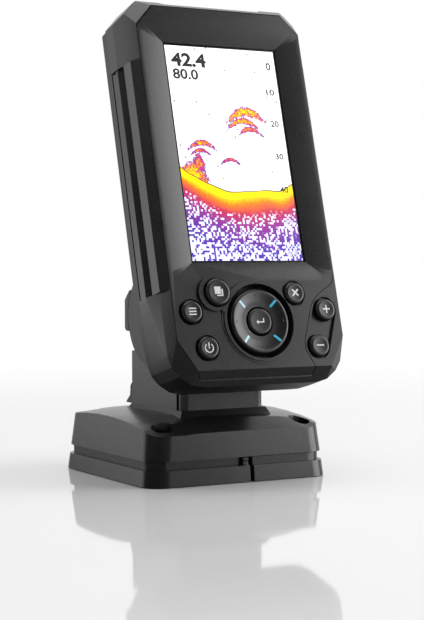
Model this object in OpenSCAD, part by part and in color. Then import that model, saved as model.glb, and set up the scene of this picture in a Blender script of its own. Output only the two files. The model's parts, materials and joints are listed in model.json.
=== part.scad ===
// Portable fish finder: a leaning display head on a lift-off post and a swivelling stand.
// The origin is the middle of the stand's underside. +X is the viewer's right, -Y is the
// viewer's side, +Z is up.

/* [Head] */
// Width of the head across its corner guards
head_w = 88.6; // [86:0.2:94]
// How far the face leans back from upright
lean = 15.1; // [4:0.1:20]
// Height of the tilt axis above the underside of the stand
tilt_z = 70; // [69:0.5:90]
// How far the tilt axis stands behind the middle of the stand
tilt_y = -7; // [-9:0.5:-5]
// Thickness of the front frame's and rear shell's walls
shell_wall = 2.2; // [1.6:0.1:2.6]
// Depth of the head behind the glass
head_depth = 25; // [24:0.5:30]

/* [Display] */
// Width of the picture on the display
picture_w = 53.86; // [50:0.01:56]
// Height of the picture on the display
picture_h = 95.04; // [90:0.01:98]
// Width of the dark margin between the picture and the bezel
picture_margin = 0.9; // [0.5:0.1:1.4]
// Depth of the sloping bezel that frames the display
bezel_drop = 1.6; // [1:0.1:2.4]

/* [Keys] */
// Radius of a round key
key_r = 4.75; // [4:0.05:5]
// How far a key's face stands out of the glass plane
key_rise = 3.5; // [3:0.1:5]
// How far a key travels when pressed
key_travel = 0.8; // [0.3:0.1:0.8]
// Radius of the direction pad
pad_r = 14; // [13:0.1:14.5]
// Radius of the enter key
enter_r = 5.65; // [5:0.05:5.7]
// Gap around a key where it passes through the face
key_gap = 0.3; // [0.2:0.05:0.4]

/* [Stand] */
// Width of the square foot of the stand
foot_w = 89.6; // [88:0.2:110]
// Radius of the foot's upright corners
foot_corner_r = 9.5; // [6:0.5:14]
// Height of the foot plate's visible lower wall
foot_h = 7.1; // [6:0.1:8]
// Height of the swivel cover's lower edge
cover_z = 10.9; // [10.8:0.1:12]
// Height of the swivel cover's straight front edge
cover_front_z = 21; // [20:0.5:23]
// Height of the swivel cover where the column rises out of it
cover_peak_z = 29; // [28:0.5:30]
// Distance of the mounting holes from the foot's left and right edges
hole_edge_x = 10.8; // [10.4:0.1:13]
// Distance of the mounting holes from the foot's front and back edges
hole_edge_y = 9.8; // [9.6:0.1:13]
// Radius of a mounting hole in the foot plate
hole_r = 2.25; // [1.5:0.05:2.5]
// Radius of the driver wells above the mounting holes
well_r = 4.75; // [4:0.05:5]

/* [Column] */
// Half width of the column
column_x = 20.9; // [20:0.1:20.9]
// Front of the column
column_front = -28; // [-29:0.5:-27]
// Height of the column walls
column_z = 54; // [50:0.5:54]
// Gap round the lift-off post
post_gap = 0.4; // [0.3:0.05:0.6]

/* [Hidden] */
$fn = 64;

shell_grey = [0.19, 0.19, 0.2];
dark_grey = [0.13, 0.13, 0.14];
rubber_black = [0.07, 0.07, 0.07];
steel = [0.72, 0.73, 0.75];
board_green = [0.05, 0.3, 0.16];
slack = 0.1;            // clearance between pieces that only have to slip together
tiny = 0.01;
slice = 0.2;            // thickness of the slices that a tapered form is drawn between

hole_x = foot_w / 2 - hole_edge_x;
hole_y = foot_w / 2 - hole_edge_y;

// ---- the head's own frame: x across, y up the face, z out of the glass ----
axis_v = -60.1;         // tilt axis, along the face from the middle of the display
axis_n = -47.6;         // tilt axis, behind the glass
face_n = 2;             // front of the face panel
fold_v = -94.2;         // where the face folds back at its lower edge
panel_under = -1;       // underside of the face panel
ledge_top = -1.6;       // shoulder that carries the face panel
ledge_under = -3.6;
frame_rear = -18.9;     // rear edge of the front frame
seal_t = 0.7;
shell_front = frame_rear - seal_t;
rear_n = -head_depth;   // back of the rear housing
rear_inner = rear_n + shell_wall;
half_w = head_w / 2;
seam = 0.3;             // open joint between the face panel and the front frame
board_top = -6.2;
board_under = -7.8;
mat_top = -5.4;
key_back = -2.2;        // back of a key's flange
key_stub = -4.4;        // end of the stub that presses the key mat
flange_n = panel_under - 0.15;
tray_under = -4.6;

top_v = 66.8;
guard_v = 68.4;
bottom_v = -100;
bezel_x = half_w - 6.3; // half width of the bezel's outer edge
notch_x = 23.5;         // half width of the notch in the head's top edge
notch_out = notch_x + guard_v - top_v + 0.2;
body_half = [[0, top_v], [notch_x, top_v], [notch_out, guard_v], [half_w - 8.3, guard_v],
             [half_w - 6.3, guard_v - 1.6], [half_w, 60], [half_w, -62], [half_w - 0.9, -76],
             [half_w - 2.1, -87], [half_w - 3.3, -91.2], [half_w - 6.3, -95.2],
             [half_w - 11.3, -98.8], [half_w - 17.3, bottom_v], [0, bottom_v]];
face_half = [[0, 64.4], [half_w - 12.3, 64.4], [half_w - 4, 55.6], [half_w - 4, -81.2],
             [half_w - 12, -94.6], [0, -94.6]];
panel_outline = [[12.7 - half_w, 64.2], [half_w - 11.9, 64.2], [half_w - 4.1, 55.4],
                 [half_w - 3.9, -52.3], [half_w - 5.6, -58.1], [29.6, -63.8], [26.4, -67.7],
                 [20.8, -82.8], [20.6, -87.1], [24.4, -94.6], [24.2, -98.4], [-29.8, -98.4],
                 [4.2 - half_w, -81.4], [4.2 - half_w, 54.7]];

menu_at = [-32, -69.7];
power_at = [-26.5, -84.9];
pages_at = [-19.2, -61.8];
exit_at = [18.4, -62.5];
zoom_in_at = [32.8, -69.9];
zoom_out_at = [27.2, -85.5];
pad_at = [0, -74.2];
pages_r = key_r + 0.95;
pages_rise = key_rise + 1;
enter_rise = face_n + 0.4;
pad_well_r = pad_r + 2;
pad_ring_r = pad_well_r + 2.15;
gimbal_n = -4.5;        // centre of the direction pad's gimbal
gimbal_pin_r = 0.45;

lens_w = picture_w + 2 * picture_margin - 0.4;
lens_h = picture_h + 2 * picture_margin - 0.4;
glass_x = lens_w / 2 + 1.8;
glass_y = lens_h / 2 + 2.6;
tray_x = glass_x + 3.5;
tray_y = glass_y + 3;

screw_spots = [for (p = [[8.8, 58.2], [5.9, -5], [13.3, -92.6]], side = [-1, 1])
    [side * (half_w - p.x), p.y]];
board_spots = [[-30, 47], [30, 47], [-30, -47], [30, -47]];
socket_at = [0, -15];
socket_r = 8;
plug_r = 6.2;

hump_r = 21.8;          // round back of the hinge hump
cheek_out = 25;
cheek_in = 21.3;
axle_r = 4;
knuckle_r = 17;
knuckle_x = 19.6;

// ---- the stand, in the part's own frame ----
foot_draft = 0.103;     // how much each wall leans in for each millimetre of height
pad_t = 1.3;
plate_under = 0.3;
rim_top = cover_z - 0.3;
band_inset = 1.3;
hub_top = 11;
ring_top = hub_top + 1.2;
web_under = ring_top + 0.1;
web_top = web_under + 3;
bolt_r = 3;
wall = 2.4;
channel_x = column_x - 2.6;
channel_back = 16.8;
curb_z = cover_peak_z - 1.8;
seat_z = 26.8;          // floor of the pocket that the post's front plate stands in
lever_y = 21.5;
lever_z = 37.2;
lever_pin_r = 1;

front_y = foot_w / 2 - foot_draft * foot_h;    // front of the foot at the recess

function unit(v) = v / norm(v);
function left_of(v) = [-v.y, v.x];
// Moves every side of a clockwise outline inwards by d.
function inset(p, d) = let (n = len(p)) [for (i = [0:n - 1])
    let (a = left_of(unit(p[i] - p[(i + n - 1) % n])),
         b = left_of(unit(p[(i + 1) % n] - p[i])))
    p[i] - d * (a + b) / (1 + a * b)];
function both_sides(half) = concat(half, [for (i = [len(half) - 1:-1:0])
    if (half[i].x > 0) [-half[i].x, half[i].y]]);
body_outline = both_sides(body_half);
face_outline = both_sides(face_half);
function foot_half(z) = foot_w / 2 - foot_draft * z;
// Height of the swivel cover's top: an arch front to back, swelling towards the middle.
function arch(y) = 26.4 - pow(y - 8, 2) / 480;
function cover_height(x, y) = let (edge = min(arch(y), cover_front_z + 0.36 * (y + 43)))
    edge + (cover_peak_z - edge) * (1 - pow(abs(x) / 46, 3)) * (1 - pow(abs(y) / 46, 4));

module in_head() translate([0, tilt_y, tilt_z]) rotate([90 - lean, 0, 0])
    translate([0, -axis_v, -axis_n]) children();
// A flat layer of the given outline between two depths.
module layer(points, from, to) translate([0, 0, from]) linear_extrude(to - from) polygon(points);
// A profile drawn as [up the face, out of the glass], run across the head.
module across(from, to) translate([from, 0, 0]) rotate([90, 0, 90]) linear_extrude(to - from)
    children();
module disc(at, r, from, to) translate([at.x, at.y, from]) cylinder(r = r, h = to - from);
module plate(half_x, half_y, from, to) translate([-half_x, -half_y, from])
    cube([2 * half_x, 2 * half_y, to - from]);
module rounded(half_x, half_y, r) union() {
    square([2 * (half_x - r), 2 * half_y], center = true);
    square([2 * half_x, 2 * (half_y - r)], center = true);
    for (x = [-1, 1], y = [-1, 1]) translate([x * (half_x - r), y * (half_y - r)])
        circle(r, $fn = 32);
}
module rounded_slab(half, r, from, to) translate([0, 0, from]) linear_extrude(to - from)
    rounded(half, half, r);
module tapered(from, to, shrink = 0) hull() {
    rounded_slab(foot_half(from) - shrink, foot_corner_r, from, from + tiny);
    rounded_slab(foot_half(to) - shrink, foot_corner_r, to - tiny, to);
}
module four_holes(r, from, to) for (x = [-1, 1], y = [-1, 1])
    disc([x * hole_x, y * hole_y], r, from, to);

// ---- foot: stays where it is put ----
module foot_plate() color(dark_grey) difference() {
    union() {
        tapered(plate_under, foot_h);
        rounded_slab(foot_half(foot_h) - band_inset, foot_corner_r, foot_h - tiny, rim_top);
        disc([0, 0], 20, foot_h, hub_top);
    }
    translate([0, 0, -tiny]) rounded_slab(foot_half(0) - 3, foot_corner_r - 2, 0, pad_t);
    difference() {
        rounded_slab(foot_half(foot_h) - band_inset - wall, foot_corner_r - wall, 4.2, rim_top + 1);
        disc([0, 0], 20, 0, hub_top);
        four_holes(6.4, 0, 5.4);
    }
    four_holes(hole_r, 0, 6);
    four_holes(4.2, 3.6, 6);
    disc([0, 0], bolt_r + 0.05, 0, hub_top + 1);
    disc([0, 0], 6.2, 0, 6.8);
    // slot for the stop tab, and the deeper recess beside it
    translate([3.6, -front_y - 6, -1]) cube([2, 12, rim_top + 2]);
    translate([0.4, -front_y - 6, foot_h + 0.2]) cube([3.2 + tiny, 12, rim_top]);
    translate([-36, -front_y - 6, foot_h]) cube([36.4 + tiny, 8.9, rim_top]);
}
module foot_pad() color(rubber_black) difference() {
    rounded_slab(foot_half(0) - 3.2, foot_corner_r - 2.2, 0, pad_t - tiny);
    four_holes(5, -1, pad_t);
}
module swivel_stop_tab() color(dark_grey) difference() {
    translate([0.6, 1 - front_y, foot_h + 0.25]) cube([2.8, 4.4, rim_top - foot_h - 0.35]);
    translate([0.5, -front_y, foot_h + 1.5]) cube([3, 1.6, 0.5]);
}
module bearing_ring() color("ivory") difference() {
    disc([0, 0], 19, hub_top, ring_top);
    disc([0, 0], 8, hub_top - 1, ring_top + 1);
}
module pivot_bolt() color(steel) {
    disc([0, 0], bolt_r, 2, web_top + 1.2);
    difference() {
        disc([0, 0], 5, web_top + 1.2, web_top + 4.6);
        translate([0, 0, web_top + 2.6]) cylinder(r = 2.6, h = 3, $fn = 6);
    }
}
module pivot_nut() color(steel) difference() {
    translate([0, 0, 1.9]) cylinder(r = 5.6, h = 4.9, $fn = 6);
    disc([0, 0], bolt_r + 0.05, 0, 8);
}

// ---- swivel: turns on the foot about the upright pivot ----
// Top of the cover as a smooth grid, lowered by sink.
module dome(sink) {
    steps = 8;
    reach = 46;
    bottom = 6;
    spots = [for (j = [0:steps], i = [0:steps])
        [reach * (2 * i / steps - 1), reach * (2 * j / steps - 1)]];
    count = len(spots);
    row = steps + 1;
    rim = concat([for (i = [0:steps]) i], [for (j = [1:steps]) j * row + steps],
                 [for (i = [steps - 1:-1:0]) steps * row + i], [for (j = [steps - 1:-1:1]) j * row]);
    polyhedron(
        points = concat([for (p = spots) [p.x, p.y, cover_height(p.x, p.y) - sink]],
                        [for (k = rim) [spots[k].x, spots[k].y, bottom]], [[0, 0, bottom]]),
        faces = concat(
            [for (j = [0:steps - 1], i = [0:steps - 1], half = [0, 1]) let (k = j * row + i)
                half == 0 ? [k, k + row, k + 1] : [k + 1, k + row, k + row + 1]],
            [for (m = [0:len(rim) - 1], half = [0, 1]) let (q = (m + 1) % len(rim))
                half == 0 ? [rim[m], rim[q], count + q] : [rim[m], count + q, count + m]],
            [for (m = [0:len(rim) - 1])
                [count + len(rim), count + m, count + (m + 1) % len(rim)]]));
}
module column_plan(x, front, back) translate([-x, front]) square([2 * x, back - front]);
module swivel_cover() color(shell_grey) difference() {
    union() {
        intersection() {
            tapered(cover_z, 34);
            dome(0);
        }
        intersection() {
            union() {
                // the foot of the column and its three walls
                translate([0, 0, web_under]) linear_extrude(curb_z - web_under)
                    column_plan(column_x + 1.6, column_front - 2, channel_back + 5);
                hull() {
                    translate([0, 0, curb_z - slice]) linear_extrude(slice)
                        column_plan(column_x + 1.6, column_front - 2, channel_back + 5);
                    translate([0, 0, curb_z + 2.8]) linear_extrude(slice)
                        column_plan(column_x + 0.1, column_front - 0.4, channel_back + 2.7);
                }
                translate([0, 0, web_under]) linear_extrude(column_z - web_under)
                    column_plan(column_x, -23.5, channel_back + 2.6);
            }
            translate([-50, -50, 0]) cube([100, 100, column_z]);
        }
        for (x = [-1, 1]) translate([x * 15.5 - 1.5, channel_back + 2, lever_z - 3])
            cube([3, lever_y - channel_back - 0.6, 4.8]);
    }
    // hollow under the top, open below, round the driver wells and the column's foot
    difference() {
        intersection() {
            tapered(cover_z - 1, 33, wall);
            dome(wall);
        }
        for (x = [-1, 1], y = [-1, 1]) translate([x * (hole_x + 10), y * (hole_y + 10), 30])
            cube([2 * (well_r + 11.6), 2 * (well_r + 11.6), 2 * (30 - cover_z)], center = true);
        translate([0, 0, web_under]) linear_extrude(40) column_plan(column_x + 1.6,
                                                                    column_front - 2,
                                                                    channel_back + 5);
    }
    four_holes(well_r, 0, 40);
    disc([0, 0], bolt_r + 0.1, 0, 20);
    // channel for the post and the pocket for its front plate
    translate([0, 0, web_top]) linear_extrude(60) column_plan(channel_x, -23.5, channel_back);
    translate([0, 0, seat_z]) linear_extrude(60) column_plan(20.3 + 0.35, column_front - 0.35, -23.4);
    // saddle under the hinge hump
    translate([-50, tilt_y, tilt_z]) rotate([0, 90, 0]) cylinder(r = hump_r + 0.5, h = 100);
    // window for the latch nose, and the bore for the lever's pin
    translate([-5, channel_back - 1, lever_z - 8]) cube([10, 6, 6]);
    // room for the lever's lip
    translate([-20, channel_back + 2.6, lever_z - 8.2]) cube([40, 10, 4]);
    translate([-50, lever_y, lever_z]) rotate([0, 90, 0])
        cylinder(r = lever_pin_r + 0.02, h = 100);
}
module pivot_washer() color(steel) difference() {
    disc([0, 0], 8, web_top + slack, web_top + 1.1);
    disc([0, 0], bolt_r + 0.1, 0, 30);
}

// ---- release lever at the back of the column ----
module release_lever() color(dark_grey) difference() {
    union() {
        across(-19.6, 19.6) polygon([[19.9, lever_z - 7.4], [28, lever_z - 7.4], [27.4, lever_z - 6.2],
            [26, lever_z - 5.4], [24.2, lever_z - 3.8], [23.7, lever_z + 0.6], [22.6, lever_z + 1.8],
            [19.9, lever_z + 2.2]]);
        translate([-4, 14.4, lever_z - 6.6]) cube([8, 6, 2.6]);
    }
    for (k = [0:3]) translate([-30, 26.3 - 0.65 * k, lever_z - 7.6 + 1.5 * k]) rotate([0, 90, 0])
        translate([0, 1.6, 0]) cylinder(r = 0.35, h = 60, $fn = 16);
    for (x = [-1, 1]) translate([x * 15.5 - 1.9, 15, lever_z - 3.4])
        cube([3.8, lever_y - 15 + 1.8, 8]);
    translate([-50, lever_y, lever_z]) rotate([0, 90, 0]) cylinder(r = lever_pin_r + 0.05, h = 100);
    translate([-3, 15, lever_z - 2.4]) cube([6, lever_y - 15 + 1.9, 8]);
}
module lever_pin() color(steel) translate([-19, lever_y, lever_z]) rotate([0, 90, 0])
    cylinder(r = lever_pin_r, h = 38);
module lever_spring() color(steel) for (k = [-2:2]) translate([k * 1.1 - 0.4, lever_y, lever_z])
    rotate([0, 90, 0]) difference() {
        cylinder(r = lever_pin_r + 0.7, h = 0.8);
        translate([0, 0, -1]) cylinder(r = lever_pin_r + 0.08, h = 3);
    }

// ---- post: lifts straight up out of the column with the head ----
module lift_post() color(shell_grey) difference() {
    union() {
        // front plate with rounded upright edges
        translate([0, 0, seat_z + 0.2]) linear_extrude(column_z - seat_z - 1.2) union() {
            translate([-20.3, -25.5]) square([40.6, 1]);
            translate([-17.3, column_front]) square([34.6, 3]);
            for (x = [-1, 1]) translate([x * 17.3, column_front + 3]) circle(3);
            column_plan(channel_x - post_gap, -25, -22.5);
        }
        intersection() {
            translate([0, 0, 22]) linear_extrude(column_z - 22)
                column_plan(channel_x - post_gap, post_gap - 23.5, channel_back - post_gap);
            difference() {
                translate([-50, -50, 0]) cube([100, 100, 60]);
                difference() {
                    translate([-50, tilt_y, tilt_z]) rotate([0, 90, 0])
                        cylinder(r = hump_r + 0.6, h = 100);
                    translate([-50, tilt_y - 12, 0]) cube([100, 24, 100]);
                }
            }
        }
        translate([post_gap - channel_x, tilt_y - 12, 40]) cube([2 * (channel_x - post_gap), 24,
                                                                 tilt_z - 40]);
        translate([-knuckle_x, tilt_y, tilt_z]) rotate([0, 90, 0])
            cylinder(r = knuckle_r, h = 2 * knuckle_x);
    }
    translate([-50, tilt_y, tilt_z]) rotate([0, 90, 0]) cylinder(r = axle_r + slack, h = 100);
    // the front plate's rounded edges end in front of the column's side walls
    for (side = [-1, 1]) translate([side * (channel_x + 2 - post_gap) - 2, -24.3, seat_z])
        cube([4, 4, column_z - seat_z]);
    // groove that the latch nose runs in, and the hollow inside the post
    translate([-5.2, channel_back - 3.6, 20]) cube([10.4, 6, 30]);
    translate([2.4 - channel_x + post_gap, -20.6, 20])
        cube([2 * (channel_x - post_gap - 2.4), channel_back - 6.4 + 20.6, 24]);
}

// ---- head: front shells ----
side_profile = [[4, face_n], [1.3, -2.2], [0.9, -8], [2.6, -9.6], [2.6, -11.6], [0.4, -13.1],
                [0.4, -14.6], [0.9, -15], [0.9, frame_rear], [9, frame_rear], [9, face_n]];
grip_top = 40;
grip_bottom = -60;
module side_strip() rotate([90, 0, 0]) linear_extrude(grip_top - grip_bottom)
    polygon([for (p = side_profile) [half_w - p.x, p.y]]);
module head_solid() {
    // corner guards: wide facets run from the face to the guard's rim
    difference() {
        union() {
            hull() {
                layer(face_outline, face_n - tiny, face_n);
                layer(body_outline, -12, -12 + tiny);
                intersection() {
                    layer(body_outline, -4, -4 + tiny);
                    plate(half_w - 2, 120, -5, -3);
                }
            }
            layer(body_outline, frame_rear, -12 + tiny);
        }
        for (x = [-1, 1]) translate([x * (half_w + 2) - 7, grip_bottom, -40])
            cube([14, grip_top - grip_bottom, 60]);
        // notch in the top edge between the corner guards
        layer([[-notch_x, top_v], [-notch_out, guard_v], [-notch_out, guard_v + 2],
               [notch_out, guard_v + 2], [notch_out, guard_v], [notch_x, top_v]], -12, face_n + 1);
    }
    for (m = [0, 1]) mirror([m, 0, 0]) translate([0, grip_top, 0]) side_strip();
}
module fold_cut() translate([-60, fold_v, face_n]) rotate([45, 0, 0]) translate([0, -30, 0])
    cube([120, 30, 30]);
module key_well(at, r) {
    disc(at, r + key_gap, ledge_under - 1, face_n + 1);
    disc(at, r + 0.9, 0.6, face_n + 3);
}
module front_frame() color(shell_grey) difference() {
    union() {
        difference() {
            head_solid();
            // the room inside, behind the ledge
            layer(inset(body_outline, 3.2), frame_rear - 1, ledge_under);
            // the face opening down to the ledge
            layer(inset(panel_outline, -seam / 2), ledge_top, face_n + 1);
            layer(inset(panel_outline, 2.3), ledge_under - 1, face_n + 1);
        }
        intersection() {
            layer(inset(body_outline, 1.5), frame_rear, ledge_under + tiny);
            for (p = screw_spots) disc(p, 3.1, frame_rear, ledge_under + tiny);
        }
    }
    fold_cut();
    for (p = screw_spots) disc(p, 1.35, frame_rear - 1, -9);
    for (p = [zoom_in_at, zoom_out_at]) {
        disc(p, key_r + key_gap, ledge_under - 1, face_n + 1);
        disc(p, key_r + 1.35, ledge_under - 1, panel_under);
    }
    // slanting trough round the two zoom keys
    hull() for (p = [zoom_in_at, zoom_out_at]) disc(p, key_r + 1, 0.8, face_n + 1);
}
module face_panel() color(shell_grey) difference() {
    union() {
        layer(inset(panel_outline, seam / 2), panel_under, face_n);
        intersection() {
            layer(inset(panel_outline, 2.6), -4.4, face_n);
            translate([-26, -98, -6]) cube([46, 6, 8]);
        }
        disc(pad_at, pad_ring_r, panel_under, face_n + 0.7);
        disc([pages_at.x - 1, pages_at.y - 0.3], pages_r + 1.8, panel_under, face_n + 1);
    }
    fold_cut();
    // sloping bezel round the display
    hull() {
        translate([0, 0.25, face_n]) linear_extrude(tiny) rounded(bezel_x, 56.75, 4.5);
        translate([0, 0, face_n - bezel_drop])
            plate(picture_w / 2 + picture_margin, picture_h / 2 + picture_margin, 0, tiny);
        translate([0, 0.25, face_n + 0.5]) linear_extrude(tiny) rounded(bezel_x + 0.2, 56.95, 4.6);
    }
    plate(picture_w / 2 + picture_margin, picture_h / 2 + picture_margin, panel_under - 1, face_n);
    for (p = [menu_at, power_at, exit_at]) key_well(p, key_r);
    disc(pages_at, pages_r + key_gap, panel_under - 1, face_n + 3);
    disc(pages_at, pages_r + 0.7, face_n, face_n + 3);
    disc(pad_at, pad_well_r, panel_under - 1, face_n + 3);
    // the ring round the pad is a raised ledge on one side and a lower rim on the other
    difference() {
        disc(pad_at, pad_ring_r + 1, face_n + 0.25, face_n + 3);
        disc(pad_at, pad_well_r + 1.2, 0, face_n + 3);
        translate([pad_at.x - 30, pad_at.y + 4, 0]) cube([29, 30, 10]);
    }
}
module panel_seal() color(rubber_black) translate([0, 0, ledge_top])
    linear_extrude(panel_under - ledge_top) intersection() {
        difference() {
            polygon(inset(panel_outline, 0.6));
            polygon(inset(panel_outline, 2));
        }
        translate([-60, -91]) square([120, 180]);
    }

// ---- head: rear shell and hinge ----
module hump_arc() difference() {
    union() {
        difference() {
            circle(hump_r);
            circle(hump_r - 2);
            // open below and in front of the rear block
            translate([-60, -60]) square([60.3, 120]);
            translate([-60, 0]) square([120, 60]);
        }
        translate([hump_r - 2, -tiny]) square([2, rear_n - axis_n + 1]);
    }
}
module rear_housing() color(dark_grey) difference() {
    union() {
        hull() {
            layer(inset(body_outline, 0.8), rear_n + 0.8, rear_n + 2 + slice);
            layer(inset(body_outline, 2), rear_n, rear_n + slice);
        }
        difference() {
            layer(inset(body_outline, 0.8), rear_n + 2, shell_front);
            layer(inset(body_outline, 0.8 + shell_wall), rear_n + 2 + slice, shell_front + 1);
        }
        for (p = board_spots) disc(p, 3, rear_n + 1, board_under);
        intersection() {
            for (p = screw_spots) disc(p, 3.6, rear_n + 1, shell_front);
            layer(inset(body_outline, 1), rear_n, shell_front);
        }
        for (side = [-cheek_out, cheek_in]) across(side, side + cheek_out - cheek_in)
            translate([axis_v, axis_n]) union() {
                circle(hump_r);
                translate([-hump_r, 0]) square([2 * hump_r, rear_n - axis_n + 1]);
            }
        across(-cheek_in - tiny, cheek_in + tiny) translate([axis_v, axis_n]) hump_arc();
    }
    for (p = board_spots) disc(p, 1.05, board_under - 8, board_under + 1);
    for (p = screw_spots) {
        disc(p, 1.5, rear_n - 1, shell_front + 1);
        disc(p, 2.8, rear_n - 1, rear_n + 2);
    }
    disc(socket_at, socket_r + 0.1, rear_n - 1, rear_inner + 1);
    across(-60, 60) translate([axis_v, axis_n]) circle(axle_r + 0.05);
    for (side = [-cheek_out - 1, cheek_out - 1.8]) across(side, side + 2.8)
        translate([axis_v, axis_n]) circle(6.7);
}
module housing_seal() color(rubber_black) translate([0, 0, shell_front])
    linear_extrude(seal_t) difference() {
        polygon(inset(body_outline, 1.6));
        polygon(inset(body_outline, 2.8));
        for (p = screw_spots) translate(p) circle(1.6);
    }
module housing_screws() color(steel) for (p = screw_spots) difference() {
    union() {
        disc(p, 1.3, rear_n + 2.1, -10);
        disc(p, 2.6, rear_n + 0.5, rear_n + 2);
        disc(p, 1.3, rear_n + 1, rear_n + 3);
    }
    translate([p.x, p.y, rear_n]) cylinder(r = 1.2, h = 1.4, $fn = 6);
}
// Block over the hump's back, drawn in the stand's upright directions.
module hinge_cover() color(dark_grey) across(-cheek_out, cheek_out) translate([axis_v, axis_n])
    rotate(lean - 90) difference() {
        polygon([[hump_r - 7.8, -7], [hump_r + 2.6, -7], [hump_r + 3.9, -5.7], [hump_r + 3.9, 7],
                 [hump_r - 0.8, 11.5], [hump_r - 9.8, 11.5]]);
        circle(hump_r + slack);
    }
module tilt_axle() color(steel) {
    across(-cheek_out + 1.8, cheek_out - 1.8) translate([axis_v, axis_n]) circle(axle_r);
    difference() {
        across(-cheek_out + 0.2, -cheek_out + 1.8) translate([axis_v, axis_n]) circle(6.4);
        across(-cheek_out - 1, -cheek_out + 1) translate([axis_v, axis_n]) circle(2.4, $fn = 6);
    }
}
module axle_nut() color(steel) difference() {
    across(cheek_out - 1.8, cheek_out - 0.2) translate([axis_v, axis_n]) circle(6.4);
    across(cheek_out - 1, cheek_out + 1) translate([axis_v, axis_n]) circle(2.4, $fn = 6);
}
module friction_washers() color("dimgray") for (side = [-cheek_in + 0.15, knuckle_x + 0.15])
    difference() {
        across(side, side + cheek_in - knuckle_x - 0.3) translate([axis_v, axis_n]) circle(9);
        across(side - 1, side + 3) translate([axis_v, axis_n]) circle(axle_r + slack);
    }

// ---- head: display ----
module screen_lens() color([0.5, 0.55, 0.6, 0.5]) plate(lens_w / 2, lens_h / 2, panel_under,
                                                       face_n - bezel_drop - 0.5);
module lcd_glass() color("lightblue") plate(glass_x, glass_y, -2.6, panel_under);
module backlight() color("white") plate(glass_x, glass_y, -4.2, -2.6);
module lcd_tray() color(steel) difference() {
    plate(tray_x, tray_y, tray_under, ledge_top);
    plate(glass_x + 0.2, glass_y + 0.2, -4.2, 0);
}
module lcd_gasket() color(rubber_black) difference() {
    plate(tray_x, tray_y, ledge_top, panel_under);
    plate(glass_x + 0.2, glass_y + 0.2, -4, 0);
}
module tray_pads() color(rubber_black) for (x = [-23, 23]) translate([x - 3, -42, board_top])
    cube([6, 84, tray_under - board_top]);

// ---- head: electronics ----
module board_shape() polygon([[-35, 54], [35, 54], [35, -82], [27, -90], [-27, -90], [-35, -82]]);
module main_board() color(board_green) difference() {
    translate([0, 0, board_under]) linear_extrude(board_top - board_under) board_shape();
    for (p = board_spots) disc(p, 1.3, -20, 0);
}
module board_screws() color(steel) for (p = board_spots) {
    disc(p, 1, board_under - 6, board_top);
    disc(p, 2.2, board_top, board_top + 1.2);
}
module sonar_shield() color(steel) translate([-24, 0, board_under - 5.2]) difference() {
    cube([48, 34, 5.2]);
    translate([0.4, 0.4, 0.4]) cube([47.2, 33.2, 6]);
}
module gps_patch() color("tan") translate([-9, 36, board_under - 4]) cube([18, 18, 4]);
module beeper() color(rubber_black) difference() {
    disc([18, -66], 6, board_under - 5, board_under);
    disc([18, -66], 1.2, board_under - 6, board_under - 4);
}
module key_mat() color([0.35, 0.35, 0.37]) difference() {
    translate([0, 0, board_top]) linear_extrude(mat_top - board_top) intersection() {
        board_shape();
        translate([-60, -100]) square([120, 44]);
    }
    disc(pad_at, 12.4, -10, 0);
    for (p = switch_spots) disc(p, 2.6, board_top - 1, board_top + 0.5);
}
switch_spots = concat([menu_at, power_at, pages_at, exit_at, zoom_in_at, zoom_out_at],
                      [for (a = [0:90:270]) pad_at + 14.6 * [cos(a), sin(a)]]);
module key_switches() color(steel) {
    for (p = switch_spots) disc(p, 2.3, board_top, board_top + 0.4);
    disc(pad_at, 3, board_top, board_top + 0.6);
}
module rear_socket() color(rubber_black) difference() {
    union() {
        disc(socket_at, socket_r, rear_n, -12);
        disc(socket_at, socket_r + 2.4, rear_n - 1.4, rear_n);
    }
    disc(socket_at, plug_r, rear_n - 2, -16);
    for (a = [45:90:315]) disc(socket_at + 3 * [cos(a), sin(a)], 0.55, -17, -11);
}
module socket_nut() color(steel) difference() {
    disc(socket_at, socket_r + 3, rear_inner, rear_inner + 2);
    disc(socket_at, socket_r + 0.05, rear_inner - 1, rear_inner + 3);
}
module socket_pins() color("gold") for (a = [45:90:315])
    disc(socket_at + 3 * [cos(a), sin(a)], 0.5, -16, board_under);

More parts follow.
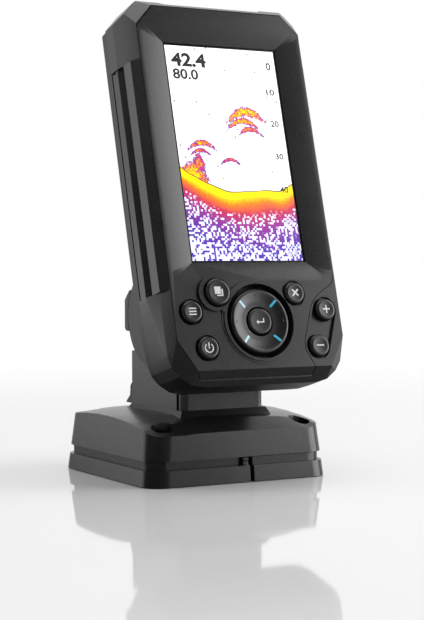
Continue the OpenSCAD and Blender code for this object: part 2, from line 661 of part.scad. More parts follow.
// ---- keys ----
module key(at, r, rise) color(dark_grey) in_head() difference() {
    union() {
        disc(at, r, key_back, rise);
        disc(at, r + 1, key_back, flange_n);
        disc(at, 2, key_stub, key_back);
    }
    // the flange clears the direction pad
    translate([0, 0, -10]) difference() {
        disc(pad_at, pad_well_r + 1.2, 0, 10 + flange_n + tiny);
        disc(at, 2, 0, 20);
    }
}
module menu_key() key(menu_at, key_r, key_rise);
module power_key() key(power_at, key_r, key_rise);
module pages_key() key(pages_at, pages_r, pages_rise);
module exit_key() key(exit_at, key_r, key_rise);
module zoom_in_key() key(zoom_in_at, key_r, key_rise);
module zoom_out_key() key(zoom_out_at, key_r, key_rise);
module enter_key() color(dark_grey) in_head() {
    disc(pad_at, enter_r, 0.4, enter_rise);
    disc(pad_at, enter_r + 0.7, key_back, flange_n);
    disc(pad_at, 4, key_stub, 0.4);
}
module direction_pad() color(dark_grey) difference() {
    union() {
        disc(pad_at, pad_r, -2.2, face_n + 0.6);
        disc(pad_at, pad_well_r + 0.5, -2.8, -2.1);
        disc(pad_at, 7.8, gimbal_n - 0.6, -2.1);
        for (a = [0:90:270]) disc(pad_at + 14.6 * [cos(a), sin(a)], 1.2, -4.6, -2.1);
    }
    disc(pad_at, enter_r + key_gap, panel_under, 10);
    disc(pad_at, enter_r + 1, -10, panel_under + tiny);
    // shallow dish round the enter key
    translate([pad_at.x, pad_at.y, face_n + 0.6 + 34.4]) sphere(r = 35.2, $fn = 96);
    for (a = [45:90:315]) translate([pad_at.x, pad_at.y, 0]) rotate(a) translate([8.7, -0.55, 0.6])
        cube([4, 1.1, 5]);
    translate([pad_at.x, pad_at.y + 9.2, gimbal_n]) rotate([90, 0, 0])
        cylinder(r = gimbal_pin_r + 0.05, h = 18.4, $fn = 24);
}
module pad_light_bars() color("deepskyblue") difference() {
    for (a = [45:90:315]) translate([pad_at.x, pad_at.y, 0]) rotate(a)
        translate([8.8, -0.5, 0.6]) cube([3.8, 1, 2.1]);
    translate([pad_at.x, pad_at.y, face_n + 0.65 + 34.4]) sphere(r = 35.2, $fn = 96);
}
module gimbal_ring() color(steel) translate([pad_at.x, pad_at.y, gimbal_n]) {
    difference() {
        translate([0, 0, -0.5]) cylinder(r = 9.6, h = 1);
        translate([0, 0, -1]) cylinder(r = 8.4, h = 2);
    }
    for (x = [-11.4, 9]) translate([x, 0, 0]) rotate([0, 90, 0])
        cylinder(r = gimbal_pin_r, h = 2.4, $fn = 24);
    for (y = [-6.8, 9]) translate([0, y, 0]) rotate([90, 0, 0])
        cylinder(r = gimbal_pin_r, h = 2.2, $fn = 24);
}
module gimbal_posts() color(steel) for (x = [-11.8, 10.4]) difference() {
    translate([pad_at.x + x, pad_at.y - 1.2, board_top])
        cube([1.4, 2.4, gimbal_n + 0.75 - board_top]);
    translate([pad_at.x - 20, pad_at.y, gimbal_n]) rotate([0, 90, 0])
        cylinder(r = gimbal_pin_r + 0.05, h = 40, $fn = 24);
}

foot_plate();
foot_pad();
swivel_stop_tab();
bearing_ring();
pivot_bolt();
pivot_nut();
swivel_cover();
pivot_washer();
lift_post();
release_lever();
lever_pin();
lever_spring();
in_head() front_frame();
in_head() face_panel();
in_head() panel_seal();
in_head() rear_housing();
in_head() housing_seal();
in_head() housing_screws();
in_head() hinge_cover();
in_head() tilt_axle();
in_head() axle_nut();
in_head() friction_washers();
in_head() screen_lens();
in_head() lcd_glass();
in_head() backlight();
in_head() lcd_tray();
in_head() lcd_gasket();
in_head() tray_pads();
in_head() main_board();
in_head() board_screws();
in_head() sonar_shield();
in_head() gps_patch();
in_head() beeper();
in_head() key_mat();
in_head() key_switches();
in_head() gimbal_posts();
in_head() rear_socket();
in_head() socket_nut();
in_head() socket_pins();
in_head() gimbal_ring();
in_head() direction_pad();
in_head() pad_light_bars();
menu_key();
power_key();
pages_key();
exit_key();
zoom_in_key();
zoom_out_key();
enter_key();
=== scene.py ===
# %% [markdown]
# # A portable fish finder
# The object is a small sonar display in a moulded black case. It leans back on a post, and the
# post stands in a square swivelling base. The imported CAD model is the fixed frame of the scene:
# this lesson dresses it with rounded edges, finishes, printed key marks and a working display.

# %% Load the frame
import json
import math

import bmesh
import bpy
from mathutils import Matrix, Vector


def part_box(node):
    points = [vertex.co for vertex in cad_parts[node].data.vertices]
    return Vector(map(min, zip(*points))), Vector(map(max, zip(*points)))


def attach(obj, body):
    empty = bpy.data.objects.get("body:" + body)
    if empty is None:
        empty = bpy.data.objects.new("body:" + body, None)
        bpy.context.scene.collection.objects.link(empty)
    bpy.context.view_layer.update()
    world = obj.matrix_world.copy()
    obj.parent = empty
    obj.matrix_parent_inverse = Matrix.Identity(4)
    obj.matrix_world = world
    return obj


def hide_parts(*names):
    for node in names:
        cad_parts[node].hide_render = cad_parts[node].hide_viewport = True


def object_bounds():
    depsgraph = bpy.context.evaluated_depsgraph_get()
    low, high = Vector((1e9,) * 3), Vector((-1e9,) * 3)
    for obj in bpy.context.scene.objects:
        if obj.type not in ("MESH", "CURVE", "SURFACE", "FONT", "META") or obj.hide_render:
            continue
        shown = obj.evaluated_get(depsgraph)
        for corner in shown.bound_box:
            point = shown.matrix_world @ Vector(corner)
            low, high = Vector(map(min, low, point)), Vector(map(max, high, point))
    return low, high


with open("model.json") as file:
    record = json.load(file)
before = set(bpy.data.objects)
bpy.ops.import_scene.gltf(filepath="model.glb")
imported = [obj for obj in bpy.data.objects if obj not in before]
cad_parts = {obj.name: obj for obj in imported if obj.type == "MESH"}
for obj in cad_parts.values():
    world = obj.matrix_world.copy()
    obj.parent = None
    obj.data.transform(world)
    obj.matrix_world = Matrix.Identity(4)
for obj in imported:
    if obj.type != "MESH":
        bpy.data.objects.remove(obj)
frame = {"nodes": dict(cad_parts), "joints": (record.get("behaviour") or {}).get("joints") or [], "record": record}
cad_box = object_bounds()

scene = bpy.context.scene
MM = 0.001
print("CAD nodes:", len(frame["nodes"]), "box in mm:",
      [[round(c / MM, 1) for c in corner] for corner in cad_box])

# %% [markdown]
# ## The head's own directions
# The face leans back, so everything on it is easiest to place in the face's own directions:
# across it, up it and out of it. The keys' press axis and the pad's rocking axis in the record
# already point along two of them, and the middle of the lens gives the point to measure from.

# %% Directions and places on the face
joints = {j["name"]: j for j in frame["joints"]}
ACROSS = Vector((1, 0, 0))
UP_FACE = Vector(joints["pad_rock_left_right"]["axis"]).normalized()
OUT = ACROSS.cross(UP_FACE)
lens_low, lens_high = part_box("screen_lens")
LENS_MIDDLE = -0.55      # mm, how far the middle of the lens lies behind the plane of the glass
glass_middle = (lens_low + lens_high) / 2 - OUT * (LENS_MIDDLE * MM)
FACE = Matrix((ACROSS, UP_FACE, OUT)).transposed().to_4x4()
FACE.translation = glass_middle
FACE = FACE @ Matrix.Scale(MM, 4)


def on_face(node):
    """A node's lowest and highest corner, across, up and out of the face, in millimetres."""
    back = FACE.inverted()
    points = [back @ v.co for v in frame["nodes"][node].data.vertices]
    return [Vector([pick(p[i] for p in points) for i in range(3)]) for pick in (min, max)]


def middle(node):
    low, high = on_face(node)
    return (low.x + high.x) / 2, (low.y + high.y) / 2


print("face leans back", round(math.degrees(math.atan2(UP_FACE.y, UP_FACE.z)), 1), "degrees")
for name in ("menu_key", "enter_key"):
    print(name, [round(c, 2) for c in middle(name)])

# %% [markdown]
# ## Writing shaders as sums
# A finish is mostly arithmetic on a few patterns. `Wire` wraps one socket, so that an expression
# on wires adds its own Math nodes, and `Finish.add` makes every other kind of node.

# %% Shader helpers
class Wire:
    """One socket that carries a number, used like a number in an expression."""

    def __init__(self, finish, socket):
        self.finish, self.socket = finish, socket

    def math(self, operation, *values):
        return self.finish.add("Math", {"operation": operation}, dict(enumerate((self, *values))))

    def __add__(self, other): return self.math("ADD", other)
    def __sub__(self, other): return self.math("SUBTRACT", other)
    def __mul__(self, other): return self.math("MULTIPLY", other)
    def __rsub__(self, other): return (self * -1.0) + other
    def __gt__(self, other): return self.math("GREATER_THAN", other)
    __radd__, __rmul__ = __add__, __mul__

    def ramp(self, *stops):
        return self.finish.add("ValToRGB", {"stops": stops}, {"Fac": self})

    def step(self, low, high):
        """0 below low, 1 above high, and a smooth rise between them."""
        return self.finish.add("MapRange", {"interpolation_type": "SMOOTHSTEP"},
                               {"Value": self, "From Min": low, "From Max": high})


class Finish:
    """A material under construction, or the world when it is given one."""

    def __init__(self, name, world=None):
        self.owner = world or bpy.data.materials.new(name)
        self.owner.use_nodes = True
        self.tree = self.owner.node_tree
        self.tree.nodes.clear()

    def add(self, kind, settings=None, sockets=None, out=0):
        node = self.tree.nodes.new("ShaderNode" + kind)
        for key, value in (settings or {}).items():
            if key == "stops":
                elements = node.color_ramp.elements
                while len(elements) < len(value):
                    elements.new(0.5)
                for element, (place, colour) in zip(elements, value):
                    element.position, element.color = place, (*colour, 1)
            else:
                setattr(node, key, value)
        for key, value in (sockets or {}).items():
            socket = node.inputs[key]
            if isinstance(value, Wire):
                self.tree.links.new(value.socket, socket)
            elif isinstance(value, (tuple, list)) and socket.type == "RGBA":
                socket.default_value = (*value, 1)[:4]
            else:
                socket.default_value = value
        return Wire(self, node.outputs[out] if node.outputs else None)

    def place(self, kind="Object"):
        return self.add("TexCoord", out=kind)

    def noise(self, scale, detail=2.0, rough=0.5, vector=None):
        sockets = {"Scale": scale, "Detail": detail, "Roughness": rough}
        sockets["Vector"] = vector or self.place()
        return self.add("TexNoise", {"noise_dimensions": "3D"}, sockets)

    def mix(self, amount, first, second):
        node = self.add("Mix", {"data_type": "RGBA"}, {0: amount}, out=2)
        target = node.socket.node
        for key, value in ((6, first), (7, second)):
            if isinstance(value, Wire):
                self.tree.links.new(value.socket, target.inputs[key])
            else:
                target.inputs[key].default_value = (*value, 1)[:4]
        return node

    def bump(self, height, strength, distance=MM):
        return self.add("Bump", None, {"Height": height, "Strength": strength, "Distance": distance})

    def principled(self, **sockets):
        named = {key.replace("_", " "): value for key, value in sockets.items()}
        return self.surface(self.add("BsdfPrincipled", None, named))

    def surface(self, shader):
        self.add("OutputMaterial", None, {"Surface": shader})
        return self.owner


print("shader helpers ready")

# %% [markdown]
# ## Moulded plastic
# The case is injection moulded in a charcoal plastic with a fine satin texture, which scatters a
# highlight a little. Tiny noise makes that texture, and a slower noise varies the gloss, because
# handled plastic is never evenly matt. The lower stand is the same plastic a shade darker.

# %% Plastic finishes
PLASTIC_GRAIN = 0.06 * MM      # height of the moulded texture
OTHER_GRAIN = 0.1 * MM         # height of brush marks, and of the grit on rubber and the like


def plastic(name, shade, rough, grain=0.10, wear=0.05):
    finish = Finish(name)
    fine = finish.noise(2600.0, 3.0, 0.6)
    slow = finish.noise(38.0, 3.0, 0.55)
    colour = finish.mix(slow.step(0.35, 0.65), [c * 0.92 for c in shade],
                        [c * 1.06 for c in shade])
    gloss = rough + (slow - 0.5) * wear + (fine - 0.5) * 0.06
    return finish.principled(Base_Color=colour, Roughness=gloss,
                             Normal=finish.bump(fine, grain, PLASTIC_GRAIN))


CHARCOAL = (0.020, 0.020, 0.021)
shell = plastic("charcoal_shell", CHARCOAL, 0.28)
shell_dark = plastic("dark_shell", (0.009, 0.009, 0.010), 0.38)
stand = plastic("stand_shell", (0.017, 0.017, 0.018), 0.27)
key_black = plastic("key_black", (0.010, 0.010, 0.011), 0.30, grain=0.05, wear=0.03)
print("plastics:", [m.name for m in (shell, shell_dark, stand, key_black)])

# %% [markdown]
# ## Rubber, metal and the small hidden parts
# The parts inside are seldom seen, but they show when the head tilts or the post lifts, so they
# get a finish of their own as well.

# %% Other finishes
def metal(name, colour, rough):
    finish = Finish(name)
    brushed = finish.add("Mapping", None, {"Vector": finish.place(), "Scale": (1.0, 1.0, 0.08)})
    streaks = finish.noise(900.0, 4.0, 0.6, brushed)
    return finish.principled(Base_Color=colour, Metallic=1.0,
                             Roughness=rough + (streaks - 0.5) * 0.18,
                             Normal=finish.bump(streaks, 0.08, OTHER_GRAIN))


def plain(name, colour, rough, speckle=0.08, scale=700.0):
    finish = Finish(name)
    grit = finish.noise(scale, 3.0)
    tone = finish.mix(grit, [c * (1 - speckle) for c in colour],
                      [min(1, c * (1 + speckle)) for c in colour])
    return finish.principled(Base_Color=tone, Roughness=rough,
                             Normal=finish.bump(grit, 0.12, OTHER_GRAIN))


rubber = plain("soft_rubber", (0.015, 0.015, 0.015), 0.75)
silicone = plain("silicone_grey", (0.11, 0.11, 0.12), 0.6)
steel = metal("stainless", (0.58, 0.59, 0.61), 0.3)
brass = metal("gold_flash", (0.80, 0.58, 0.24), 0.25)
board_green = plain("solder_mask", (0.02, 0.13, 0.06), 0.35, 0.25)
acetal = plain("acetal", (0.72, 0.70, 0.64), 0.4)
ceramic = plain("ceramic", (0.42, 0.33, 0.24), 0.5)
panel_white = plain("diffuser_film", (0.8, 0.8, 0.8), 0.5)
panel_dark = plain("dark_glass", (0.01, 0.01, 0.012), 0.1)
finish_of = {"shell": shell, "shell_dark": shell_dark, "key": key_black, "rubber": rubber,
             "silicone": silicone, "steel": steel, "lens": panel_dark, "display": panel_dark,
             "diffuser": panel_white, "board": board_green, "acetal": acetal, "ceramic": ceramic,
             "contacts": brass, "light_bar": panel_white}
STAND_NODES = ("swivel_cover", "lift_post", "foot_plate")
for part in frame["record"]["subparts"]:
    node = part["node"]
    for slot in frame["nodes"][node].material_slots:
        slot.material = stand if node in STAND_NODES else finish_of[part["material_slot"]]

# %% [markdown]
# ## Edges that catch the light
# No moulded edge is perfectly sharp. A mould leaves a radius of a few tenths of a millimetre, and
# that radius draws the thin bright lines that outline the case. The modifiers weld the node's
# triangles, merge the flat ones, and round what is left, without touching the mesh itself.

# %% Round the edges of the CAD nodes
WELD_REACH = 0.002 * MM
FLAT_WITHIN = math.radians(0.4)      # faces closer to one plane than this are merged
EDGE_FROM = math.radians(13)         # an edge that turns by more than this is rounded


def soften(node, radius):
    thing = frame["nodes"][node]
    weld = thing.modifiers.new("weld", "WELD")
    weld.merge_threshold = WELD_REACH
    flat = thing.modifiers.new("flat", "DECIMATE")
    flat.decimate_type, flat.angle_limit = "DISSOLVE", FLAT_WITHIN
    edge = thing.modifiers.new("edge", "BEVEL")
    edge.width, edge.segments, edge.limit_method = radius * MM, 2, "ANGLE"
    edge.angle_limit, edge.miter_outer = EDGE_FROM, "MITER_ARC"
    edge.use_clamp_overlap = True
    even = thing.modifiers.new("even", "WEIGHTED_NORMAL")
    even.keep_sharp, even.weight = False, 80


edge_radius = {"front_frame": 0.4, "face_panel": 0.3, "rear_housing": 0.5, "hinge_cover": 0.6,
               "swivel_cover": 0.5, "foot_plate": 0.4, "lift_post": 0.4, "release_lever": 0.4,
               "swivel_stop_tab": 0.2, "rear_socket": 0.3, "foot_pad": 0.2}
for name, radius in edge_radius.items():
    soften(name, radius)
print("rounded:", ", ".join(edge_radius))

# %% [markdown]
# ## Building blocks
# Most small pieces are turned (keys, the pad), or cut from sheet (marks, the display). One helper
# turns a profile round an axis, another gives an outline a thickness.

# %% Mesh helpers
def make(name, points, faces, material, body, matrix=FACE, smooth=35, replaces=()):
    mesh = bpy.data.meshes.new(name)
    mesh.from_pydata([matrix @ Vector(p) for p in points], [], faces)
    work = bmesh.new()
    work.from_mesh(mesh)
    bmesh.ops.remove_doubles(work, verts=work.verts, dist=1e-7)
    bmesh.ops.recalc_face_normals(work, faces=work.faces)
    work.to_mesh(mesh)
    work.free()
    mesh.shade_smooth()
    mesh.set_sharp_from_angle(angle=math.radians(smooth))
    thing = bpy.data.objects.new(name, mesh)
    scene.collection.objects.link(thing)
    mesh.materials.append(material)
    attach(thing, body)
    if replaces:
        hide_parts(*replaces)
    return thing


def turned(profile, at, segments=72):
    """Points and faces of a profile of (radius, height) pairs turned round an upright axis."""
    points, faces = [], []
    for radius, height in profile:
        for k in range(segments):
            a = 2 * math.pi * k / segments
            points.append((at[0] + radius * math.cos(a), at[1] + radius * math.sin(a), height))
    for j in range(len(profile) - 1):
        for k in range(segments):
            q = (k + 1) % segments
            low, high = j * segments, (j + 1) * segments
            faces.append((low + k, low + q, high + q, high + k))
    faces.append(tuple(range(segments)))
    faces.append(tuple(reversed(range((len(profile) - 1) * segments, len(profile) * segments))))
    return points, faces


def sheet_cut(outlines, low, high):
    """Outlines given a thickness from low to high."""
    points, faces = [], []
    for outline in outlines:
        start, n = len(points), len(outline)
        points += [(x, y, low) for x, y in outline] + [(x, y, high) for x, y in outline]
        faces.append(tuple(range(start + n - 1, start - 1, -1)))
        faces.append(tuple(range(start + n, start + 2 * n)))
        faces += [(start + k, start + (k + 1) % n, start + n + (k + 1) % n, start + n + k)
                  for k in range(n)]
    return points, faces


def arc(middle_at, radius, start, stop, steps):
    """Points on an arc, with its angles in degrees."""
    span = [math.radians(start + (stop - start) * k / steps) for k in range(steps + 1)]
    return [(middle_at[0] + radius * math.cos(a), middle_at[1] + radius * math.sin(a)) for a in span]


print("mesh helpers ready")

# %% [markdown]
# ## Round keys
# Each key is a moulded cap with a rounded shoulder and a face dished by a fraction of a
# millimetre, so that a fingertip finds the middle. A profile turned round the key's axis gives
# exactly that, and it replaces the plain stub of the CAD node.

# %% Key caps
KEY_RADIUS = {"menu": 4.75, "power": 4.75, "pages": 5.7, "exit": 4.75, "zoom_in": 4.75,
              "zoom_out": 4.75, "enter": 5.65}
SHOULDER, ENTER_SHOULDER = 1.1, 0.8      # radius of the rounded shoulder
KEY_DISH = 0.18                          # how far the middle of a key lies below its rim
TURN_STEPS = [math.radians(15 * k) for k in range(1, 7)]


def shoulder_points(radius, top, shoulder):
    """A quarter round from a cap's wall to its top."""
    return [(radius - shoulder * (1 - math.cos(a)), top - shoulder * (1 - math.sin(a)))
            for a in TURN_STEPS]


def cap_profile(radius, top, bottom, shoulder):
    wall = [(radius, bottom), (radius, top - shoulder - 0.6), (radius, top - shoulder)]
    flat, rings = radius - shoulder, 8
    dish = [(flat * (1 - k / rings), top - KEY_DISH * (1 - (1 - k / rings) ** 2))
            for k in range(1, rings)]
    return wall + shoulder_points(radius, top, shoulder) + dish + [(0.02, top - KEY_DISH)]


key_top = {}
for name, radius in KEY_RADIUS.items():
    node = name + "_key"
    low, high = on_face(node)
    at = middle(node)
    key_top[name] = (at, high.z)
    rounding = ENTER_SHOULDER if name == "enter" else SHOULDER
    points, faces = turned(cap_profile(radius, high.z, low.z + 0.2, rounding), at)
    make(name + "_cap", points, faces, key_black, name, replaces=(node,))
print("key caps:", {k: [round(c, 1) for c in at] for k, (at, top) in key_top.items()})

# %% [markdown]
# ## Marks on the keys
# The marks are printed in white. Each one is a thin cut sheet that lies on its cap: bars for the
# menu, a broken ring for power, two sheets for pages, a cross, a plus, a minus and a bent arrow.

# %% Printed marks
def box_outline(x0, y0, x1, y1):
    return [(x0, y0), (x1, y0), (x1, y1), (x0, y1)]


def plus_outline(reach, half, turn=0):
    points = []
    for k in range(4):
        for x, y in ((half, half), (half, reach), (-half, reach)):
            a = math.radians(90 * k + turn)
            points.append((x * math.cos(a) - y * math.sin(a), x * math.sin(a) + y * math.cos(a)))
    return points


marks = {
    "menu": [box_outline(-1.75, y - 0.28, 1.75, y + 0.28) for y in (-1.25, 0, 1.25)],
    "power": [arc((0, -0.2), 2.1, 125, 415, 28) + arc((0, -0.2), 1.6, 415, 125, 28),
              box_outline(-0.25, -0.4, 0.25, 2.2)],
    "pages": [box_outline(-1.9, -1.0, 1.0, 2.1),
              [(-0.9, -1.9), (2.0, -1.9), (2.0, 1.1), (1.35, 1.1), (1.35, -1.35), (-0.9, -1.35)]],
    "exit": [plus_outline(2.0, 0.38, 45)],
    "zoom_in": [plus_outline(1.8, 0.3)],
    "zoom_out": [box_outline(-1.8, -0.3, 1.8, 0.3)],
    "enter": [[(-2.0, -0.4), (-0.9, -1.35), (-0.9, -0.65), (1.9, -0.65), (1.9, 1.2), (1.4, 1.2),
               (1.4, -0.15), (-0.9, -0.15), (-0.9, 0.55)]],
}
MARK_SINK, MARK_SHOW = 0.25, 0.02     # a mark's underside and its face, below the top of its key
ink = plain("white_ink", (0.78, 0.79, 0.80), 0.5, 0.03)
for name, outlines in marks.items():
    at, top = key_top[name]
    placed = [[(x + at[0], y + at[1]) for x, y in outline] for outline in outlines]
    points, faces = sheet_cut(placed, top - MARK_SINK, top - MARK_SHOW)
    make(name + "_mark", points, faces, ink, name)
print("marks:", ", ".join(marks))

# %% [markdown]
# ## The direction pad
# One rocking disc with a shallow dish round the enter key. Like the keys it could be sculpted from
# a cylinder, but a profile turned round its axis gives the wall, the rounded rim, the dish and the
# bore for the enter key in one pass, so it is made that way.

# %% Pad disc
pad_at = middle("enter_key")
pad_top = on_face("direction_pad")[1].z
PAD_R, PAD_RIM = 14.0, 1.3                   # radius of the pad, and of its rounded rim
DISH_OUT, DISH_IN, DISH_DEEP = 12.7, 6.8, 1.05
DISH_WIDE = DISH_OUT - DISH_IN


def dish_height(radius):
    """How high the dish lies at this distance from the middle of the pad."""
    inwards = min(1, max(0, (DISH_OUT - radius) / DISH_WIDE))
    return pad_top - DISH_DEEP * math.sin(math.pi / 2 * inwards)


pad_profile = [(PAD_R - 0.1, -2.0), (PAD_R, 0.6), (PAD_R, pad_top - PAD_RIM)]
pad_profile += shoulder_points(PAD_R, pad_top, PAD_RIM)
pad_profile += [(r, dish_height(r)) for r in (DISH_OUT - DISH_WIDE * k / 6 for k in range(1, 7))]
pad_profile += [(6.4, pad_top - 1.1), (6.1, pad_top - 1.5), (6.05, -1.0), (5.9, -2.0)]
points, faces = turned(pad_profile, pad_at, 96)
open_ended = faces[:-2]                      # the bore is open, so the two end faces are left off
make("pad_disc", points, open_ended, key_black, "pad", replaces=("direction_pad",))
print("pad top", round(pad_top, 2), "mm")

# %% [markdown]
# ## Lit dashes and moulded dots
# Four light guides lie in the dish on its diagonals, and a small dot marks each of the other four
# directions. A dash follows the slope of the dish, so its corners are set at the dish's height.

# %% Pad dashes and dots
def glow(name, colour, strength):
    finish = Finish(name)
    cloudy = finish.noise(300.0)
    tone = finish.mix(cloudy, [c * 0.9 for c in colour], colour)
    return finish.principled(Base_Color=tone, Roughness=0.35, Emission_Color=tone,
                             Emission_Strength=strength)


lit_blue = glow("lit_cyan", (0.05, 0.42, 0.62), 0.35)
lit_pale = glow("lit_pale", (0.36, 0.56, 0.64), 0.35)
DASH = [(8.6, -0.5), (12.4, -0.5), (12.4, 0.5), (8.6, 0.5)]      # outwards, sideways
for k, (angle, light) in enumerate(((45, lit_blue), (135, lit_pale), (225, lit_pale), (315, lit_blue))):
    turn = math.radians(angle)
    points = [(pad_at[0] + r * math.cos(turn) - w * math.sin(turn),
               pad_at[1] + r * math.sin(turn) + w * math.cos(turn), dish_height(r) + lift)
              for lift in (-0.6, 0.06) for r, w in DASH]
    faces = [(3, 2, 1, 0), (4, 5, 6, 7)]
    faces += [(i, (i + 1) % 4, 4 + (i + 1) % 4, 4 + i) for i in range(4)]
    make("pad_dash_%d" % (k + 1), points, faces, light, "pad",
         replaces=("pad_light_bars",) if k == 0 else ())
DOT_AT = 11.2
for k in range(4):
    turn = math.radians(90 * k)
    spot = (pad_at[0] + DOT_AT * math.cos(turn), pad_at[1] + DOT_AT * math.sin(turn))
    base = dish_height(DOT_AT)
    points, faces = turned([(0.45, base - 0.2), (0.45, base + 0.03), (0.2, base + 0.12)], spot, 16)
    make("pad_dot_%d" % (k + 1), points, faces, shell_dark, "pad")
print("dashes and dots: 4 of each")

# %% [markdown]
# ## The display
# A sonar display draws depth downwards: white water, coloured echoes, and a seabed that runs from
# yellow through red and purple to blue noise. The picture is worked out by the shader from the
# piece's own map of across and up, so it needs no image.

# %% Sonar picture
SEABED = ((0.0, (1.0, 0.83, 0.0)), (0.028, (1.0, 0.72, 0.0)), (0.06, (0.9, 0.20, 0.01)),
          (0.10, (0.52, 0.03, 0.08)), (0.17, (0.23, 0.03, 0.28)), (0.27, (0.10, 0.03, 0.36)),
          (0.45, (0.07, 0.05, 0.42)))
ECHO = ((0.0, (0.09, 0.05, 0.34)), (0.25, (0.20, 0.04, 0.33)), (0.5, (0.62, 0.04, 0.07)),
        (0.75, (0.93, 0.30, 0.01)), (1.0, (1.0, 0.70, 0.0)))
# each shoal: middle across and up, half width, half height, how far its ends droop, strength
SHOALS = ((0.66, 0.700, 0.19, 0.024, 0.060, 1.0), (0.62, 0.655, 0.16, 0.017, 0.050, 0.8),
          (0.68, 0.618, 0.13, 0.014, 0.045, 0.65), (0.22, 0.545, 0.14, 0.015, 0.040, 0.72),
          (0.20, 0.510, 0.10, 0.011, 0.030, 0.55), (0.46, 0.470, 0.10, 0.011, 0.030, 0.50),
          (0.10, 0.400, 0.16, 0.055, 0.060, 0.95), (0.17, 0.445, 0.06, 0.055, 0.020, 0.65))


def sonar():
    finish = Finish("sonar_display")
    x = finish.add("SeparateXYZ", None, {0: finish.place("UV")})
    y = Wire(finish, x.socket.node.outputs[1])
    flat = finish.add("CombineXYZ", None, {0: x, 1: y * 1.76})
    ragged = finish.noise(52.0, 5.0, 0.8, flat)
    wide = finish.noise(3.1, 1.0, 0.4, flat)
    # a cell is one dot of the display: one random value for each gives hard little squares
    cell = finish.add("VectorMath", {"operation": "SNAP"}, {0: flat, 1: (0.0165, 0.0165, 1.0)})
    grain = finish.add("TexWhiteNoise", {"noise_dimensions": "3D"}, {0: cell})
    bed = 0.315 + (x - 0.62) * (x - 0.62) * 0.30 + (wide - 0.5) * 0.07
    depth = bed - y
    soil = depth + (ragged - 0.5) * 0.06
    bands = soil.ramp(*SEABED)
    bright = ((depth - 0.10) * 1.9 + (grain - 0.5) * 1.3 + (ragged - 0.5) * 1.2).step(0.34, 0.40)
    soil_colour = finish.mix(bright * depth.step(0.09, 0.12), bands, (0.80, 0.83, 1.0))
    line = depth.step(-0.004, -0.001) * (1 - depth.step(0.002, 0.004))
    strongest = None
    for cx, cy, half_wide, half_tall, droop, hot in SHOALS:
        dx = (x - cx) * (1.0 / half_wide)
        dy = (y - cy + dx * dx * droop) * (1.0 / half_tall)
        one = (1 - (dx * dx + dy * dy) + (ragged - 0.5) * 3.4 + (grain - 0.5) * 0.5) * hot
        strongest = one if strongest is None else strongest.math("MAXIMUM", one)
    specks = (grain > 0.985) * finish.noise(7.0, 2.0, 0.6, flat).step(0.50, 0.56)
    water = finish.mix(specks * 0.85, (1, 1, 1), (0.10, 0.08, 0.24))
    water = finish.mix(strongest.step(0.02, 0.08), water, strongest.ramp(*ECHO))
    picture = finish.mix(depth.step(-0.001, 0.001), water, soil_colour)
    picture = finish.mix(line, picture, (0.15, 0.10, 0.03))
    return finish.principled(Base_Color=picture, Roughness=0.25, Specular_IOR_Level=0.3,
                             Emission_Color=picture, Emission_Strength=0.62)


print("shoals:", len(SHOALS))

# %% [markdown]
# ## The lens and the picture behind it
# A clear sheet over a lit picture costs many light bounces and can hide the picture under its own
# reflections. The lens is therefore a dark sheet with the picture laid on it, a hair proud, and
# the picture's own gloss stands in for the glass.

# %% Lens and picture sheets
picture_x, picture_y = 53.86 / 2, 95.04 / 2      # half of a 4.3 inch panel's picture, in mm
PICTURE_PROUD = 0.06
lens_lo, lens_hi = on_face("screen_lens")
top = lens_hi.z
lens_dark = plain("lens_margin", (0.006, 0.006, 0.007), 0.2)
points, faces = sheet_cut([box_outline(lens_lo.x, lens_lo.y, lens_hi.x, lens_hi.y)], lens_lo.z,
                          top - PICTURE_PROUD)
make("lens_sheet", points, faces, lens_dark, "head", replaces=("screen_lens",))
points, faces = sheet_cut([box_outline(-picture_x, -picture_y, picture_x, picture_y)],
                          top - PICTURE_PROUD - 0.01, top)
display = make("display_picture", points, faces, sonar(), "head")
chart = display.data.uv_layers.new(name="across_up")
to_face = FACE.inverted()
for loop in display.data.loops:
    p = to_face @ display.data.vertices[loop.vertex_index].co
    chart.data[loop.index].uv = ((p.x / picture_x + 1) / 2, (p.y / picture_y + 1) / 2)
print("display", round(2 * picture_x, 1), "x", round(2 * picture_y, 1), "mm")

# %% [markdown]
# ## Numbers on the display
# The depth, the temperature and the scale down the right side are plain numbers. They are set in
# Blender's own typeface, made into mesh, and laid on the picture.

# %% Numbers
NUMBER_LIFT = 0.02      # how far the print stands above the picture


def number(name, words, left, middle_up, width, height, material, bold):
    """Words set at size 1, stroked bolder, then fitted to this width and height in millimetres."""
    curve = bpy.data.curves.new(name, "FONT")
    curve.body, curve.offset, curve.resolution_u = words, bold, 4
    setting = bpy.data.objects.new(name + "_setting", curve)
    scene.collection.objects.link(setting)
    bpy.context.view_layer.update()
    graph = bpy.context.evaluated_depsgraph_get()
    mesh = bpy.data.meshes.new_from_object(setting.evaluated_get(graph))
    bpy.data.objects.remove(setting)
    low_x, low_y = (min(v.co[i] for v in mesh.vertices) for i in (0, 1))
    high_x, high_y = (max(v.co[i] for v in mesh.vertices) for i in (0, 1))
    points = [(left + (v.co.x - low_x) * width / (high_x - low_x),
               middle_up + ((v.co.y - low_y) / (high_y - low_y) - 0.5) * height, top + NUMBER_LIFT)
              for v in mesh.vertices]
    return make(name, points, [tuple(p.vertices) for p in mesh.polygons], material, "head")


